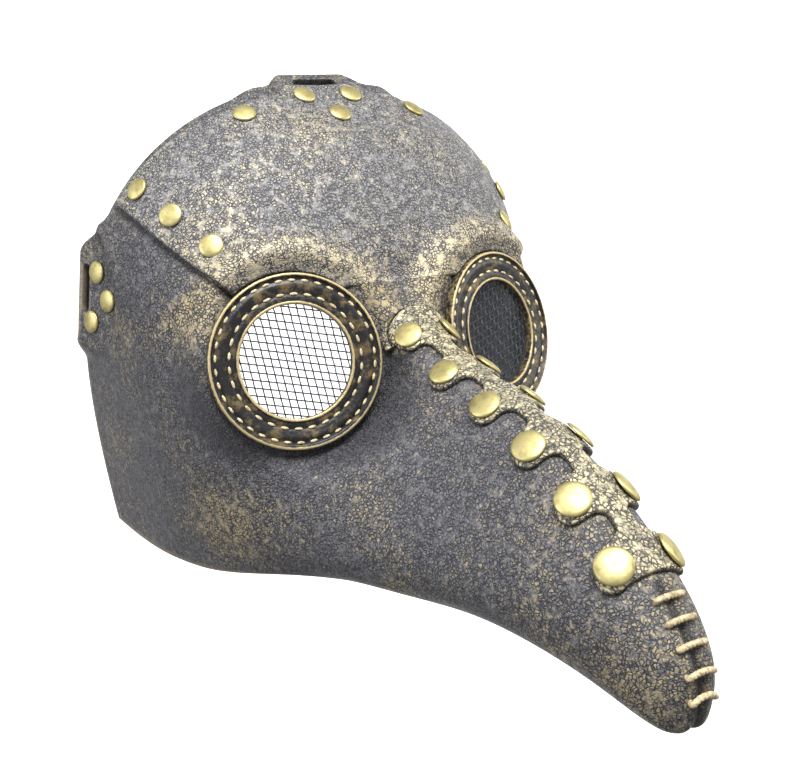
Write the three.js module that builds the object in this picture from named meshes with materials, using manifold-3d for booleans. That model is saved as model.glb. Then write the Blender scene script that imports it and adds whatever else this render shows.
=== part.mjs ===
// Plague doctor mask: a moulded leather beak mask that covers the face from the jaw to the crown.
// Millimetres, +Z up, the wearer looks along -Y and the wearer's left is +X.
// The origin is midway between the centres of the two eye rings.
import * as THREE from 'three';
import { mergeVertices } from 'three/addons/utils/BufferGeometryUtils.js';
import Module from 'manifold-3d';

const wasm = await Module();
wasm.setup();

// ---- driving sizes of the moulded form -------------------------------------------------------
const FACE_WIDTH = 176;       // over the shell at the side slots
const CROWN_HEIGHT = 96;      // eye line up to the shell's top rim
const JAW_DROP = 90;          // eye line down to the shell's lower edge
const HEAD_DEPTH = 108;       // eye line back to the side rims
const BEAK_LENGTH = 158;      // eye line forward to the beak's tip

// ---- layers ----------------------------------------------------------------------------------
const SHELL = 2.4;            // shell leather
const PANEL = 2.0;            // forehead panel leather
const STRAP = 1.9;            // ridge strap leather
const GAP = 0.3;              // air left between pieces that touch
const CUT_CLEARANCE = 0.25;   // a hole is this much wider all round than what passes through it

// ---- eye rings -------------------------------------------------------------------------------
const EYE_OUT = 46.7;         // middle plane to the ring's centre
const EYE_NORMAL = new THREE.Vector3(0.289, -0.928, 0.236).normalize();
const RING_R = 32;
const RING_OPENING_R = 20.6;
const RING_HEIGHT = 4;        // outer bead's face above the ring's back
const MESH_R = 25.5;
const MESH_THICK = 0.6;
const MESH_PITCH = 6.4;       // wires are drawn coarser than the real gauze
const MESH_WIRE = 1.3;

// ---- forehead panel, ridge strap, rivets, slots, lacing --------------------------------------
const PANEL_EDGE_V = 0.714;   // the panel's side edge follows this line of the form
const PANEL_FOOT_U = 0.785;   // its foot between the eyes follows this one
const PANEL_RIM_U = 0.992;    // its top edge stops a little short of the shell's rim
const STRAP_TABS = 6;         // pairs of tabs along the ridge
const TAB_PITCH = 25.3;
const TAB_MARGIN = 0.9;       // leather beyond a cap round a tab's end
const TAB_ROOT = 3.6;         // length of the hollow curve from a tab to the spine
const SPINE_HALF = 4;       // half width of the strap between its tabs
const STRAP_HEAD = 13;        // first tab's middle up to the strap's round upper end
const STRAP_START_U = 0.722;  // where the strap's upper end lies on the middle line
const BEAK_RIVET_OUT = [8.0, 9.0, 9.5, 10.2, 10.4, 11.2];   // middle line to rivet, round the ridge
const BEAK_CAP_R = [5.3, 5.4, 5.6, 5.9, 6.2, 6.4];
const CAP_R = 4.5;
const SHANK_R = 1.5;
const BACK_CAP_R = 2.4;
const SLOT_LENGTH = 20;
const SLOT_WIDTH = 4.8;
const PLATE_THICK = 1.5;
const LACE_R = 1.1;
const LACE_CLEARANCE = 0.45;
const LACE_HALF = 4.8;        // middle plane to a lace hole, round the ridge
const LACE_U = [0.153, 0.120, 0.086, 0.052, 0.026];

const LEATHER = { color: 0x56565a, roughness: 0.62, metalness: 0.15 };
const PANEL_LEATHER = { color: 0x85806f, roughness: 0.55, metalness: 0.2 };
const STRAP_LEATHER = { color: 0xb3a67c, roughness: 0.5, metalness: 0.25 };
const RING_LEATHER = { color: 0x2b2621, roughness: 0.55, metalness: 0.1 };
const BRASS = { color: 0xc9b877, roughness: 0.35, metalness: 0.9 };
const WIRE = { color: 0x2f3236, roughness: 0.5, metalness: 0.6 };
const CORD = { color: 0xc7b27a, roughness: 0.7, metalness: 0.0 };
const BACKING = { color: 0x25231f, roughness: 0.8, metalness: 0.0 };

// The form as rows of control points from the beak's tip back to the rim. Each row runs from the
// underside or lower edge, round the wearer's left side, up to the middle line. The points are in
// millimetres for the drawn sizes below, and are stretched to the driving sizes.
const DRAWN = { halfWidth: 88, crown: 96, jaw: 90, depth: 108, beak: 158 };
const FORM = [
  [[0, -157.8, -84.5], [0, -157.8, -84.5], [0, -157.8, -84.5], [0, -157.8, -84.5],
    [0, -157.8, -84.5], [0, -157.8, -84.5], [0, -157.8, -84.5]],
  [[0, -155, -91.5], [5, -155.5, -91.5], [8, -156, -88.5], [9, -156.5, -83],
    [8.5, -157.5, -77.5], [5, -159.3, -72.5], [0, -159.3, -72.5]],
  [[0, -146, -92], [7, -146, -92], [13, -146, -87], [14.5, -147, -74.5],
    [13, -149.5, -64], [7, -151, -59], [0, -151, -59]],
  [[0, -129, -86], [9, -129, -86], [18.5, -127, -80], [20.5, -128, -64],
    [17, -132, -51], [9, -134.5, -44.2], [0, -134.5, -44.2]],
  [[0, -105, -80.5], [12, -105, -80.5], [26, -102, -75], [26.5, -103, -57],
    [18.5, -106, -37.5], [10, -109, -24], [0, -109, -24]],
  [[0, -80, -77.5], [16, -80, -77.5], [32.5, -76, -73.5], [31, -78, -53],
    [19, -82, -29], [9.5, -84.5, -12], [0, -84.5, -12]],
  [[24, -52, -77], [33, -49, -78.5], [40, -47, -72], [37, -50, -50],
    [21, -54, -22], [9, -58.5, -4.5], [0, -58.5, -4.5]],
  [[44, -18, -77], [48, -16, -76], [51, -16, -67], [46, -20, -46],
    [24, -26, -17], [8, -29, 1.5], [0, -29, 1.5]],
  [[58, 8, -82], [61, 6, -74], [62, 2, -58], [57, -6, -36],
    [32, -8, -8], [9, -6.5, 12], [0, -6.5, 12]],
  [[66, 30, -87], [70, 26, -72], [74, 20, -46], [76, 16, -14],
    [57, 5, 25], [18, 9, 28], [0, 8, 24]],
  [[71, 52, -89], [76, 49, -70], [81, 47, -38], [85, 44, 0],
    [84, 32, 46], [34, 14, 50], [0, 12, 49]],
  [[75, 78, -89], [79, 77, -66], [84, 76, -30], [88, 76, 10],
    [93, 56, 58], [48, 39, 81], [0, 32.5, 78]],
  [[77, 104, -85], [80, 108, -64], [85, 110, -28], [88, 102, 8],
    [90, 67, 60], [46, 64, 93], [0, 64.5, 97]],
];

const stretch = ([x, y, z]) => new THREE.Vector3(
  x * FACE_WIDTH / (2 * DRAWN.halfWidth),
  y * (y < 0 ? BEAK_LENGTH / DRAWN.beak : HEAD_DEPTH / DRAWN.depth),
  z * (z < 0 ? JAW_DROP / DRAWN.jaw : CROWN_HEIGHT / DRAWN.crown),
);
const CAGE = FORM.map((row) => row.map(stretch));
const LAST = CAGE.length - 1;

const EYE = new THREE.Vector3(EYE_OUT, 0, 0);
const TOP_SLOT = stretch([0, 63.8, 97.1]);
const SIDE_SLOT = stretch([88, 98.2, 16.2]);
const TOP_SLOT_NORMAL = new THREE.Vector3(0, -0.588, 0.809).normalize();
const SIDE_SLOT_NORMAL = new THREE.Vector3(0.962, -0.25, 0.1).normalize();
const RING_BACK = -RING_HEIGHT;
const TOP_LAND_LEVEL = -2;
const TOP_LAND_R = 27;
const SIDE_LAND_LEVEL = -0.5;
const SIDE_LAND_R = 21;
const SIDE_RIVETS = [[7, 7.4], [-3.4, 15], [-13, 4.8]];
const SIDE_PLATE = [[14, -3.8], [14, 8], [8, 14.5], [0, 19], [-9, 18], [-17, 8], [-17, -3.8]];

// Flat lands pressed into the form: the form is drawn onto each plane inside its radius.
const LANDS = [
  { at: EYE, normal: EYE_NORMAL, level: RING_BACK - GAP, radius: RING_R + 1, blend: 10 },
  { at: TOP_SLOT, normal: TOP_SLOT_NORMAL, level: TOP_LAND_LEVEL, radius: TOP_LAND_R,
    blend: 12 },
  { at: SIDE_SLOT, normal: SIDE_SLOT_NORMAL, level: SIDE_LAND_LEVEL,
    radius: SIDE_LAND_R, blend: 10 },
];

// Lips where the rim runs out to a straight edge behind a slot, faded out past the slot's ends.
const LIPS = [
  { at: TOP_SLOT, along: new THREE.Vector3(1, 0, 0), back: new THREE.Vector3(0, 0.809, 0.588),
    half: 14, fade: 9, out: 5.5 },
  { at: SIDE_SLOT, along: new THREE.Vector3(0, 0, 1), back: new THREE.Vector3(0.25, 0.968, 0),
    half: 14, fade: 17, out: 4.6 },
];

const smooth = (t) => {
  const c = Math.min(1, Math.max(0, t));
  return c * c * (3 - 2 * c);
};

// The four cubic B-spline weights of n evenly knotted points at t, with clamped ends.
function splineWeights(n, t) {
  const spans = n - 3;
  const knot = (i) => Math.min(spans, Math.max(0, i - 3));
  const x = Math.min(Math.max(t, 0), 1 - 1e-9) * spans;
  const first = Math.floor(x);
  const k = first + 3;
  const w = [1, 0, 0, 0];
  for (let d = 1; d <= 3; d += 1) {
    let carry = 0;
    for (let r = 0; r < d; r += 1) {
      const right = knot(k + r + 1) - x;
      const left = x - knot(k + 1 - d + r);
      const share = w[r] / (right + left);
      w[r] = carry + right * share;
      carry = left * share;
    }
    w[d] = carry;
  }
  return { first, w };
}

// How far a lip carries the rim out at v, as a vector.
function lipReach(lip, v) {
  const { first, w } = splineWeights(CAGE[0].length, v);
  const rim = lip.at.clone().negate();
  w.forEach((s, j) => rim.addScaledVector(CAGE[LAST][first + j], s));
  const fade = smooth((lip.half + lip.fade - Math.abs(rim.dot(lip.along))) / lip.fade);
  return lip.back.clone().multiplyScalar(Math.max(0, lip.out - rim.dot(lip.back)) * fade);
}

// The brow: a soft roll over the upper side of each eye ring.
const BROW_UP = new THREE.Vector3(0, 0, 1).addScaledVector(EYE_NORMAL, -EYE_NORMAL.z).normalize();
const BROW_OUT = new THREE.Vector3().crossVectors(EYE_NORMAL, BROW_UP).multiplyScalar(-1);
const BROW_RISE = 4.5;
const BROW_R = RING_R + 9;
const BROW_SOFT = 5;

function browLift(p) {
  const d = p.clone().sub(EYE);
  const angle = THREE.MathUtils.radToDeg(Math.atan2(d.dot(BROW_UP), d.dot(BROW_OUT)));
  const across = d.addScaledVector(EYE_NORMAL, -d.dot(EYE_NORMAL)).length();
  const roll = Math.exp(-(((across - BROW_R) / BROW_SOFT) ** 2));
  return BROW_RISE * roll * smooth((angle - 20) / 35) * smooth((165 - angle) / 35);
}

// A point of the form. u runs from the beak's tip (0) to the rim (1). v runs from the wearer's
// left lower edge (0) over the middle line (1) to the right lower edge (2).
function skin(u, v) {
  if (v > 1) {
    const p = skin(u, 2 - v);
    p.x = -p.x;
    return p;
  }
  const a = splineWeights(CAGE.length, u);
  const b = splineWeights(CAGE[0].length, v);
  const p = new THREE.Vector3();
  a.w.forEach((s, i) => b.w.forEach((t, j) => {
    p.addScaledVector(CAGE[a.first + i][b.first + j], s * t);
  }));
  const nearRim = smooth((u - 0.9) / 0.1);
  if (nearRim > 0) LIPS.forEach((lip) => p.addScaledVector(lipReach(lip, v), nearRim));
  for (const land of LANDS) {
    const d = p.clone().sub(land.at);
    const height = d.dot(land.normal);
    const across = d.addScaledVector(land.normal, -height).length();
    const pull = smooth((land.radius + land.blend - across) / land.blend);
    if (Math.abs(height) < 40) p.addScaledVector(land.normal, (land.level - height) * pull);
  }
  return p.addScaledVector(EYE_NORMAL, browLift(p));
}

// The outward normal, from neighbouring points; the tip itself shares one normal.
function skinNormal(u, v) {
  const step = 1e-3;
  if (u < 2 * step) {
    const low = skinNormal(4 * step, 0);
    return low.add(skinNormal(4 * step, 1)).setX(0).normalize();
  }
  const w = v > 1 ? 2 - v : v;
  const u0 = Math.max(u - step, 0);
  const u1 = Math.min(u + step, 1);
  const v0 = Math.max(w - step, 0);
  const v1 = Math.min(w + step, 1);
  const along = skin(u1, w).sub(skin(u0, w));
  const around = skin(u, v1).sub(skin(u, v0));
  const n = along.cross(around).normalize();
  if (w > 1 - step / 2) n.setX(0).normalize();
  if (v > 1) n.x = -n.x;
  return n;
}

const lift = (u, v, height) => skin(u, v).addScaledVector(skinNormal(u, v), height);

// ---- solids ----------------------------------------------------------------------------------
const mask = new THREE.Group();
mask.name = 'plague_doctor_mask';

function addMesh(name, geometry, look) {
  const mesh = new THREE.Mesh(geometry, new THREE.MeshStandardMaterial(look));
  mesh.name = name;
  mask.add(mesh);
}

function toSolid(geometry) {
  const bare = geometry.clone();
  bare.deleteAttribute('normal');
  bare.deleteAttribute('uv');
  const merged = mergeVertices(bare, 1e-5);
  return new wasm.Manifold(new wasm.Mesh({
    numProp: 3,
    vertProperties: new Float32Array(merged.attributes.position.array),
    triVerts: new Uint32Array(merged.index.array),
  }));
}

function toGeometry(solid) {
  const { vertProperties, triVerts } = solid.getMesh();
  const geometry = new THREE.BufferGeometry();
  geometry.setAttribute('position', new THREE.BufferAttribute(vertProperties, 3));
  geometry.setIndex(new THREE.BufferAttribute(triVerts, 1));
  geometry.computeVertexNormals();
  return geometry;
}

// A closed sheet over a grid of [u, v] places, from height low to height high above the form.
function sheet(grid, low, high) {
  const rows = grid.length;
  const cols = grid[0].length;
  const positions = [];
  for (const height of [high, low]) {
    grid.forEach((row) => row.forEach(([u, v]) => positions.push(...lift(u, v, height))));
  }
  const at = (layer, i, j) => layer * rows * cols + i * cols + j;
  const index = [];
  const apart = (a, b) => [0, 1, 2].some(
    (k) => Math.abs(positions[3 * a + k] - positions[3 * b + k]) > 1e-4,
  );
  const face = (a, b, c) => {
    if (apart(a, b) && apart(b, c) && apart(c, a)) index.push(a, b, c);
  };
  const quad = (a, b, c, d) => {
    face(a, b, c);
    face(a, c, d);
  };
  for (let i = 0; i < rows - 1; i += 1) {
    for (let j = 0; j < cols - 1; j += 1) {
      quad(at(0, i, j), at(0, i + 1, j), at(0, i + 1, j + 1), at(0, i, j + 1));
      quad(at(1, i, j), at(1, i, j + 1), at(1, i + 1, j + 1), at(1, i + 1, j));
    }
    quad(at(0, i + 1, 0), at(0, i, 0), at(1, i, 0), at(1, i + 1, 0));
    quad(at(0, i, cols - 1), at(0, i + 1, cols - 1), at(1, i + 1, cols - 1), at(1, i, cols - 1));
  }
  for (let j = 0; j < cols - 1; j += 1) {
    quad(at(0, 0, j), at(0, 0, j + 1), at(1, 0, j + 1), at(1, 0, j));
    quad(at(0, rows - 1, j + 1), at(0, rows - 1, j), at(1, rows - 1, j), at(1, rows - 1, j + 1));
  }
  const geometry = new THREE.BufferGeometry();
  geometry.setAttribute('position', new THREE.Float32BufferAttribute(positions, 3));
  geometry.setIndex(index);
  return geometry;
}

// Moves a geometry built about +Z to a point, with +Z along a direction and +X along a second.
function aim(geometry, point, direction, along) {
  const z = direction.clone().normalize();
  const x = along.clone().addScaledVector(z, -along.dot(z)).normalize();
  const y = new THREE.Vector3().crossVectors(z, x);
  return geometry.applyMatrix4(new THREE.Matrix4().makeBasis(x, y, z).setPosition(point));
}

const AHEAD = new THREE.Vector3(0.3, 1, 0.2);   // never lies along a fixing's axis

function drill(point, direction, radius, reach = 12, sides = 10) {
  const cutter = new THREE.CylinderGeometry(radius, radius, 2 * reach, sides).rotateX(Math.PI / 2);
  return toSolid(aim(cutter, point, direction, AHEAD));
}

// Draws a slot outline with round ends, along local X.
function traceSlot(path) {
  const half = (SLOT_LENGTH - SLOT_WIDTH) / 2;
  path.absarc(half, 0, SLOT_WIDTH / 2, -Math.PI / 2, Math.PI / 2, false);
  path.absarc(-half, 0, SLOT_WIDTH / 2, Math.PI / 2, 1.5 * Math.PI, false);
  path.closePath();
  return path;
}

function slotCutter(slot) {
  const options = { depth: 24, bevelEnabled: false, curveSegments: 5 };
  const cutter = new THREE.ExtrudeGeometry(traceSlot(new THREE.Shape()), options);
  cutter.translate(0, 0, -options.depth / 2);
  return toSolid(aim(cutter, slot.at, slot.normal, slot.along));
}

const flip = (p) => new THREE.Vector3(-p.x, p.y, p.z);

// ---- where everything sits -------------------------------------------------------------------
const UPRIGHT = new THREE.Vector3(0, 0, 1);
const ACROSS = new THREE.Vector3(1, 0, 0);

// Strap slots: place, axes, and the rivets beside each as distances along it and ahead of it.
const SLOTS = [
  { name: 'top', at: TOP_SLOT, normal: TOP_SLOT_NORMAL, along: ACROSS, level: TOP_LAND_LEVEL,
    rivets: [[10.6, 10.7], [-10.6, 10.7], [0, 22.3]],
    plate: [[15, -3.9], [15, 14], [5, 26], [-5, 26], [-15, 14], [-15, -3.9]] },
  { name: 'left', at: SIDE_SLOT, normal: SIDE_SLOT_NORMAL, along: UPRIGHT,
    level: SIDE_LAND_LEVEL, rivets: SIDE_RIVETS, plate: SIDE_PLATE },
  { name: 'right', at: flip(SIDE_SLOT), normal: flip(SIDE_SLOT_NORMAL), along: UPRIGHT,
    level: SIDE_LAND_LEVEL, rivets: SIDE_RIVETS, plate: SIDE_PLATE },
];

// A point of a slot's flat land: distance along the slot, distance ahead of it, height.
function onLand(slot, along, ahead, height) {
  const x = slot.along.clone().addScaledVector(slot.normal, -slot.along.dot(slot.normal));
  x.normalize();
  const front = new THREE.Vector3().crossVectors(slot.normal, x);
  if (front.y > 0) front.negate();
  return slot.at.clone().addScaledVector(x, along).addScaledVector(front, ahead)
    .addScaledVector(slot.normal, height);
}

// Distance round the form from the middle line, turned into v, at a given u.
function vAtReach(u, reach) {
  const step = 0.004;
  let v = 1;
  let last = skin(u, v);
  let gone = 0;
  while (v > step) {
    const next = skin(u, v - step);
    const piece = next.distanceTo(last);
    if (gone + piece >= reach) return v - step * (reach - gone) / piece;
    gone += piece;
    v -= step;
    last = next;
  }
  return 0;
}

// Distance down the ridge from the strap's upper end, turned into u.
function uAtRidge(distance) {
  const step = 0.002;
  let u = STRAP_START_U;
  let last = skin(u, 1);
  let gone = 0;
  while (u > step) {
    const next = skin(u - step, 1);
    const piece = next.distanceTo(last);
    if (gone + piece >= distance) return u - step * (distance - gone) / piece;
    gone += piece;
    u -= step;
    last = next;
  }
  return 0;
}

// The panel's foot on column v: where it meets the eye ring, or the line between the eyes.
function panelFoot(v) {
  const clear = RING_R + GAP;
  const outside = (u) => {
    const d = skin(u, v).sub(EYE);
    return d.addScaledVector(EYE_NORMAL, -d.dot(EYE_NORMAL)).length() > clear;
  };
  let high = 1;
  while (high > PANEL_FOOT_U && outside(high)) high -= 0.004;
  if (high <= PANEL_FOOT_U) return PANEL_FOOT_U;
  let low = high;
  high += 0.004;
  while (high - low > 1e-5) {
    const mid = (low + high) / 2;
    if (outside(mid)) high = mid;
    else low = mid;
  }
  return high;
}

// ---- fixings ---------------------------------------------------------------------------------
// Every rivet: its name, place and axis on the form, cap, and the heights it clamps between.
const RIVETS = [];

function addRivet(name, point, normal, capR, low, high, pieces) {
  RIVETS.push({ name, point, normal, capR, low, high, pieces });
}

function addRivetPair(name, u, v, capR, high, pieces) {
  for (const [side, place] of [['left', v], ['right', 2 - v]]) {
    addRivet(`${name}_${side}`, skin(u, place), skinNormal(u, place), capR, -SHELL, high, pieces);
  }
}

const ON_PANEL = GAP + PANEL;
const ON_STRAP = GAP + STRAP;
const UNDER_PLATE = -SHELL - GAP - PLATE_THICK;

const PANEL_RIVETS = [
  { name: 'rivet_brow_1', u: 0.974, v: 0.757 },
  { name: 'rivet_brow_2', u: 0.932, v: 0.763 },
  { name: 'rivet_brow_3', u: 0.886, v: 0.767 },
  { name: 'rivet_crown', u: 0.983, v: 0.919 },
];
for (const { name, u, v } of PANEL_RIVETS) {
  addRivetPair(name, u, v, CAP_R, ON_PANEL, ['shell', 'panel']);
}
for (let k = 0; k < STRAP_TABS; k += 1) {
  const u = uAtRidge(STRAP_HEAD + k * TAB_PITCH);
  const v = vAtReach(u, BEAK_RIVET_OUT[k]);
  addRivetPair(`rivet_beak_${k + 1}`, u, v, BEAK_CAP_R[k], ON_STRAP, ['shell', 'strap']);
}
for (const slot of SLOTS) {
  const high = slot.name === 'top' ? ON_PANEL : 0;
  const pieces = slot.name === 'top' ? ['shell', 'panel'] : ['shell'];
  slot.rivets.forEach(([along, ahead], k) => {
    const point = onLand(slot, along, ahead, slot.level);
    addRivet(`rivet_slot_${slot.name}_${k + 1}`, point, slot.normal, CAP_R, UNDER_PLATE, high, pieces);
  });
}

// The holes for a piece's rivets, with a seat for the cap where it is the outermost piece.
function rivetHoles(piece) {
  const cutters = [];
  for (const r of RIVETS.filter((rivet) => rivet.pieces.includes(piece))) {
    cutters.push(drill(r.point, r.normal, SHANK_R + CUT_CLEARANCE, 6, 6));
    const above = r.point.clone().addScaledVector(r.normal, r.high + GAP / 2 + 4);
    cutters.push(drill(above, r.normal, r.capR + CUT_CLEARANCE, 4, 11));
  }
  return cutters;
}

const cutAll = (solid, cutters) => cutters.reduce((body, cutter) => body.subtract(cutter), solid);

const steps = (n, from, to) => Array.from({ length: n + 1 }, (_, i) => from + (to - from) * i / n);

const sides = [
  { side: 'left', turn: (p) => p.clone(), sign: 1 },
  { side: 'right', turn: flip, sign: -1 },
];

// ---- shell -----------------------------------------------------------------------------------
// Two moulded halves that meet on the middle line, open at the back and under the jaw.
const laceHoles = LACE_U.map((u) => {
  const v = vAtReach(u, LACE_HALF);
  return [v, 2 - v].map((place) => ({ point: skin(u, place), normal: skinNormal(u, place) }));
});

const SHELL_ROWS = [
  ...steps(4, 0, 0.18), ...steps(7, 0.18, 0.58).slice(1), ...steps(17, 0.58, 0.88).slice(1),
  ...steps(5, 0.88, 1).slice(1)];
const LEFT_COLUMNS = [...steps(8, 0, 0.7), ...steps(8, 0.7, 1).slice(1)];
const RIGHT_COLUMNS = LEFT_COLUMNS.map((v) => 2 - v).reverse();
const shellGrid = (cols) => SHELL_ROWS.map((u) => cols.map((v) => [u, v]));

// Keeps an eye ring's seat and the plates' seats clear of the form's blends.
const ringSeats = sides.map(({ turn }) => {
  const seat = turn(EYE).addScaledVector(turn(EYE_NORMAL), RING_BACK - GAP / 2 + 15);
  return drill(seat, turn(EYE_NORMAL), RING_R + GAP, 15, 40);
});
const plateSeats = SLOTS.map((slot) => {
  const radius = slot.name === 'top' ? TOP_LAND_R - 1 : SIDE_LAND_R - 1;
  return drill(onLand(slot, 0, 0, slot.level - SHELL - GAP / 2 - 4), slot.normal, radius, 4, 24);
});

function shellHalf({ side, turn, sign }) {
  let solid = toSolid(sheet(shellGrid(sign > 0 ? LEFT_COLUMNS : RIGHT_COLUMNS), -SHELL, 0));
  const seam = new THREE.BoxGeometry(40, 500, 400).translate(-sign * (20 - GAP / 2), 0, 0);
  const eye = drill(turn(EYE), turn(EYE_NORMAL), RING_OPENING_R + 2.4, 16, 28);
  const laces = laceHoles.map((pair) => pair[sign > 0 ? 0 : 1])
    .map((hole) => drill(hole.point, hole.normal, LACE_R + LACE_CLEARANCE, 5, 7));
  solid = cutAll(solid, [toSolid(seam), eye, ...laces, ...rivetHoles('shell')]);
  solid = cutAll(solid, [...SLOTS.map(slotCutter), ...ringSeats, ...plateSeats]);
  addMesh(`face_shell_${side}`, toGeometry(solid), LEATHER);
}
sides.forEach(shellHalf);

// What lies on the shell is shaped to its facets: it starts inside them and is cut back to the gap.
const bothSides = [...LEFT_COLUMNS.slice(2), ...RIGHT_COLUMNS.slice(1, -2)];
const clearance = toSolid(sheet(shellGrid(bothSides), -SHELL, GAP));
const BEDDED = -SHELL / 2;

// ---- forehead panel --------------------------------------------------------------------------
function foreheadPanel() {
  const half = steps(11, PANEL_EDGE_V, 0.988);
  const cols = [...half, ...half.map((v) => 2 - v).reverse()];
  const feet = cols.map((v) => panelFoot(v > 1 ? 2 - v : v));
  const grid = steps(13, 0, 1).map((t) => cols.map((v, j) => [feet[j] + (PANEL_RIM_U - feet[j]) * t, v]));
  const solid = toSolid(sheet(grid, BEDDED, ON_PANEL));
  const cutters = [clearance, ...ringSeats, ...rivetHoles('panel'), slotCutter(SLOTS[0])];
  addMesh('forehead_panel', toGeometry(cutAll(solid, cutters)), PANEL_LEATHER);
}
foreheadPanel();

// ---- ridge strap -----------------------------------------------------------------------------
// Half width of the strap at a distance down the ridge: a spine with a round tab at each rivet.
function strapHalf(distance) {
  if (distance < STRAP_HEAD) {
    const full = BEAK_RIVET_OUT[0] + BEAK_CAP_R[0] + TAB_MARGIN;
    return Math.max(0.5, full * Math.sqrt(1 - (1 - distance / STRAP_HEAD) ** 2));
  }
  const k = Math.min(STRAP_TABS - 1, Math.round((distance - STRAP_HEAD) / TAB_PITCH));
  const off = Math.abs(distance - STRAP_HEAD - k * TAB_PITCH);
  const round = BEAK_CAP_R[k] + TAB_MARGIN;
  if (off < round) return BEAK_RIVET_OUT[k] + Math.sqrt(round ** 2 - off ** 2);
  const root = Math.max(0, (round + TAB_ROOT - off) / TAB_ROOT);
  return SPINE_HALF + (BEAK_RIVET_OUT[k] - SPINE_HALF) * (1 - Math.sqrt(Math.max(0, 1 - root ** 2)));
}

function ridgeStrap() {
  const across = [-1, -0.7, -0.4, -0.13, 0.13, 0.4, 0.7, 1];
  const stops = steps(5, 0, 1).slice(0, -1).map((t) => STRAP_HEAD * t * t * (2 - t));
  for (let k = 0; k < STRAP_TABS; k += 1) {
    const middle = STRAP_HEAD + k * TAB_PITCH;
    const round = BEAK_CAP_R[k] + TAB_MARGIN;
    const ahead = [0.6 * round, round - 0.02, round + 0.1 * TAB_ROOT, round + 0.45 * TAB_ROOT,
      round + TAB_ROOT];
    const last = k === STRAP_TABS - 1;
    if (k > 0) ahead.toReversed().forEach((d) => stops.push(middle - d));
    stops.push(middle);
    (last ? ahead.slice(0, 2) : ahead).forEach((d) => stops.push(middle + d));
  }
  const grid = stops.reverse().map((distance) => {
    const u = uAtRidge(distance);
    const half = strapHalf(distance);
    return across.map((t) => {
      const v = vAtReach(u, Math.abs(t) * half);
      return [u, t < 0 ? v : 2 - v];
    });
  });
  const solid = toSolid(sheet(grid, BEDDED, ON_STRAP));
  const cutters = [clearance, ...ringSeats, ...rivetHoles('strap')];
  addMesh('ridge_strap', toGeometry(cutAll(solid, cutters)), STRAP_LEATHER);
}
ridgeStrap();

// ---- eye rings and their gauze ---------------------------------------------------------------
// Section of a ring, from its opening over both beads to the recess that holds the gauze.
function ringGeometry() {
  const lip = RING_BACK + MESH_THICK + GAP;
  const profile = [
    [RING_OPENING_R, lip], [MESH_R + GAP, lip], [MESH_R + GAP, RING_BACK], [RING_R, RING_BACK],
    [RING_R, -1.1], [RING_R - 0.4, -0.3], [RING_R - 1.2, 0], [RING_R - 2.1, -0.4],
    [RING_R - 2.6, -1.0], [RING_OPENING_R + 2.6, -1.0], [RING_OPENING_R + 2.2, -0.5],
    [RING_OPENING_R + 1.3, -0.2], [RING_OPENING_R + 0.4, -0.5], [RING_OPENING_R, -1.2],
    [RING_OPENING_R, lip],
  ];
  return new THREE.LatheGeometry(profile.map(([r, z]) => new THREE.Vector2(r, z)), 32)
    .rotateX(Math.PI / 2);
}

// A flat disc pierced by leaning cells between two sets of wires.
function gauzeSolid(sign) {
  const disc = new THREE.CylinderGeometry(MESH_R, MESH_R, MESH_THICK, 40).rotateX(Math.PI / 2);
  let solid = toSolid(disc);
  const level = new THREE.Vector2(MESH_PITCH, 0);
  const steep = new THREE.Vector2(0.35 * sign, 0.94).multiplyScalar(MESH_PITCH * 0.94);
  const open = 0.5 * (1 - MESH_WIRE / MESH_PITCH);
  const reach = Math.ceil(2 * MESH_R / MESH_PITCH);
  const options = { depth: 2 * MESH_THICK, bevelEnabled: false };
  for (let i = -reach; i <= reach; i += 1) {
    for (let j = -reach; j <= reach; j += 1) {
      const corners = [[-open, -open], [open, -open], [open, open], [-open, open]]
        .map(([a, b]) => level.clone().multiplyScalar(i + a).addScaledVector(steep, j + b));
      if (corners.some((c) => c.length() > MESH_R - 2)) continue;
      const cell = new THREE.ExtrudeGeometry(new THREE.Shape(corners), options);
      solid = solid.subtract(toSolid(cell.translate(0, 0, -MESH_THICK)));
    }
  }
  return solid;
}

for (const { side, turn, sign } of sides) {
  const [centre, normal] = [turn(EYE), turn(EYE_NORMAL)];
  const across = ACROSS.clone().multiplyScalar(sign);
  const ring = toSolid(ringGeometry());
  addMesh(`eye_ring_${side}`, aim(toGeometry(ring), centre, normal, across), RING_LEATHER);
  const gauze = toGeometry(gauzeSolid(sign)).translate(0, 0, RING_BACK + MESH_THICK / 2);
  addMesh(`eye_mesh_${side}`, aim(gauze, centre, normal, across), WIRE);
}

// ---- plates behind the strap slots -----------------------------------------------------------
function slotPlate(slot) {
  const facing = onLand(slot, 0, 1, 0).sub(slot.at);
  const rightHanded = new THREE.Vector3().crossVectors(slot.normal, slot.along).dot(facing) > 0;
  const hand = rightHanded ? 1 : -1;
  const shape = new THREE.Shape(slot.plate.map(([a, b]) => new THREE.Vector2(a, hand * b)));
  shape.holes.push(traceSlot(new THREE.Path()));
  for (const [a, b] of slot.rivets) {
    const hole = new THREE.Path();
    hole.absarc(a, hand * b, SHANK_R + CUT_CLEARANCE, 0, 2 * Math.PI, false);
    shape.holes.push(hole);
  }
  const options = { depth: PLATE_THICK, bevelEnabled: false, curveSegments: 5 };
  const plate = toSolid(new THREE.ExtrudeGeometry(shape, options));
  const seat = onLand(slot, 0, 0, slot.level - SHELL - GAP - PLATE_THICK);
  addMesh(`slot_plate_${slot.name}`, aim(toGeometry(plate), seat, slot.normal, slot.along), BACKING);
}
SLOTS.forEach(slotPlate);

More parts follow.
